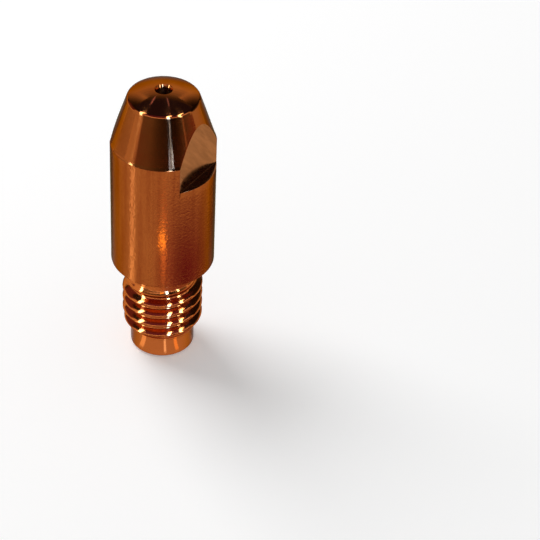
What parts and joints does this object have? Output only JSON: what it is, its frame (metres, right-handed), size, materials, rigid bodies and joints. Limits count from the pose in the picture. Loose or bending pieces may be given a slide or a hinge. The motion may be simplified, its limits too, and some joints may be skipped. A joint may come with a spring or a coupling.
{
  "type": "welding contact tip",
  "caption": "Turned copper contact tip for a wire welding torch: domed conical nose with spanner flats, round body, undercut, screw thread and plain pilot, bored through for the wire.",
  "frame": {"origin": "centre of the pilot's end face, on the wire's axis", "axes": "+Z along the axis towards the nose; the spanner flats face +X and -X"},
  "size_m": [0.01, 0.01, 0.03],
  "materials": {
    "copper": "turned copper: bright nose, thread and pilot, satin drawn body"
  },
  "bodies": {
    "root": {"contact_tip": "copper"}
  },
  "joints": []
}
